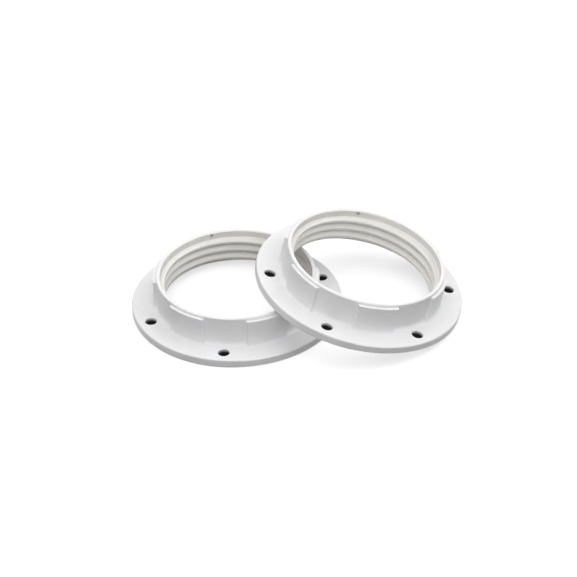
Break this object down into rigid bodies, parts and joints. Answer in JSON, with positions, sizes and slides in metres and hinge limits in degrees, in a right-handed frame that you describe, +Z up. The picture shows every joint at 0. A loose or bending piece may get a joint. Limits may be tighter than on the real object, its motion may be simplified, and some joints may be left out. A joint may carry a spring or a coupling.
{
  "type": "lampholder shade ring pair",
  "caption": "White plastic lampholder shade rings: a drilled flange under a short threaded collar with grip pads. A like ring leans on the rim of the flat one.",
  "frame": {"origin": "on the ground, at the middle of the pair's footprint", "axes": "+Z up along the lying ring's axis; +X from the lying ring towards the leaning ring; +Y away from the near side"},
  "size_m": [0.0894, 0.0602, 0.0227],
  "materials": {
    "white_plastic": "injection-moulded white plastic with a soft gloss"
  },
  "bodies": {
    "lying_ring": {"lying_ring": "white_plastic"},
    "leaning_ring": {"leaning_ring": "white_plastic"}
  },
  "joints": [
    {"name": "leaning_ring_lift", "type": "slide", "parent": "lying_ring", "child": "leaning_ring", "axis": [0, 0, 1], "range_m": [0, 0.04]}
  ]
}
